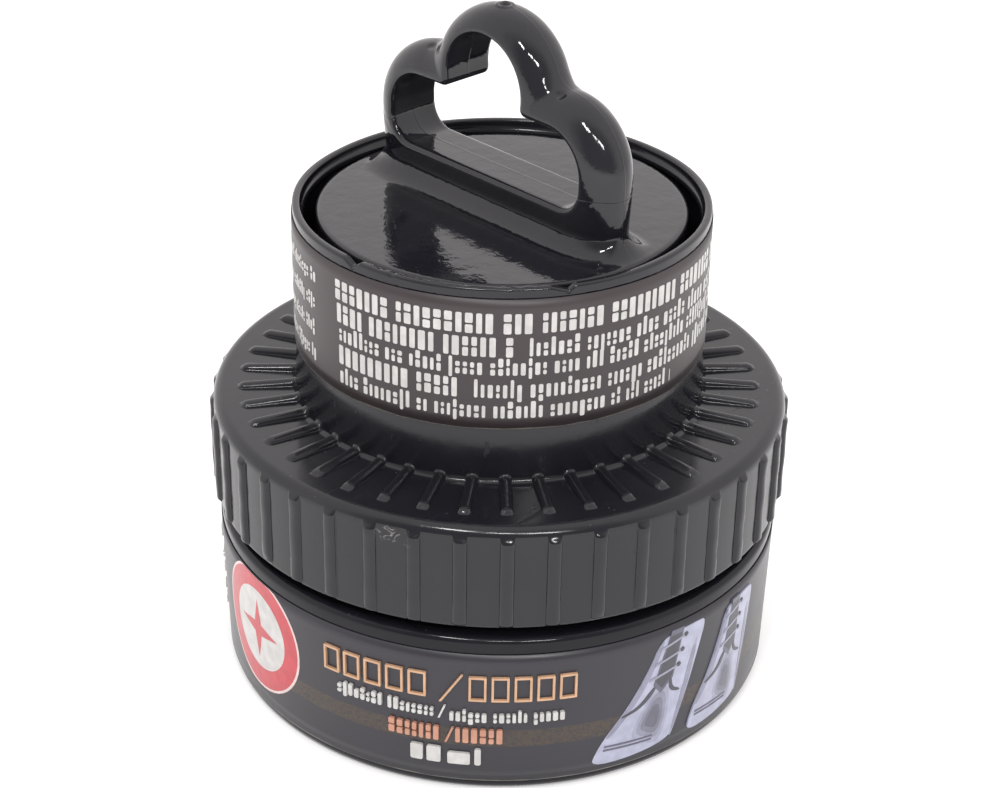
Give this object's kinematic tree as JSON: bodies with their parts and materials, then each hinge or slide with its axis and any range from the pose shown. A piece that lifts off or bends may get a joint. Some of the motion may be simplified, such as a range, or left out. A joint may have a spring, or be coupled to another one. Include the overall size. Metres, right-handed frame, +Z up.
{
  "type": "shoe cream jar with sponge applicator",
  "caption": "Round jar of shoe cream with a ribbed screw cap; a cup on the cap holds a sponge applicator with a three-lobed loop handle.",
  "frame": {"origin": "centre of the jar's foot, on the surface that it stands on", "axes": "+Z up along the axis of the jar and its screw thread, +X along the applicator's handle"},
  "size_m": [0.0626, 0.0624, 0.0741],
  "materials": {
    "jar_plastic": "gloss",
    "jar_print": "satin",
    "sticker_paper": "matte",
    "cream": "satin",
    "liner_foam": "matte",
    "cap_plastic": "gloss",
    "cup_print": "satin",
    "handle_plastic": "gloss",
    "adhesive": "matte",
    "sponge_foam": "matte"
  },
  "bodies": {
    "jar": {"jar_body": "jar_plastic", "jar_label": "jar_print", "base_sticker": "sticker_paper", "shoe_cream": "cream"},
    "cap_rise": {"cap_liner": "liner_foam"},
    "cap": {"screw_cap": "cap_plastic", "cup_label": "cup_print"},
    "applicator": {"applicator_handle": "handle_plastic", "sponge_adhesive": "adhesive", "sponge": "sponge_foam"}
  },
  "joints": [
    {"name": "cap_rise", "type": "slide", "parent": "jar", "child": "cap_rise", "axis": [0, 0, 1], "range_m": [0, 0.0108]},
    {"name": "cap_turn", "type": "hinge", "parent": "cap_rise", "child": "cap", "pos_m": [0, 0, 0], "axis": [0, 0, 1], "range_deg": [0, 1080]},
    {"name": "applicator_lift", "type": "slide", "parent": "cap", "child": "applicator", "axis": [0, 0, 1], "range_m": [0, 0.03]}
  ],
  "couplings": [
    {"joint": "cap_rise", "follows": "cap_turn", "m_per_rad": 0.00057296}
  ]
}
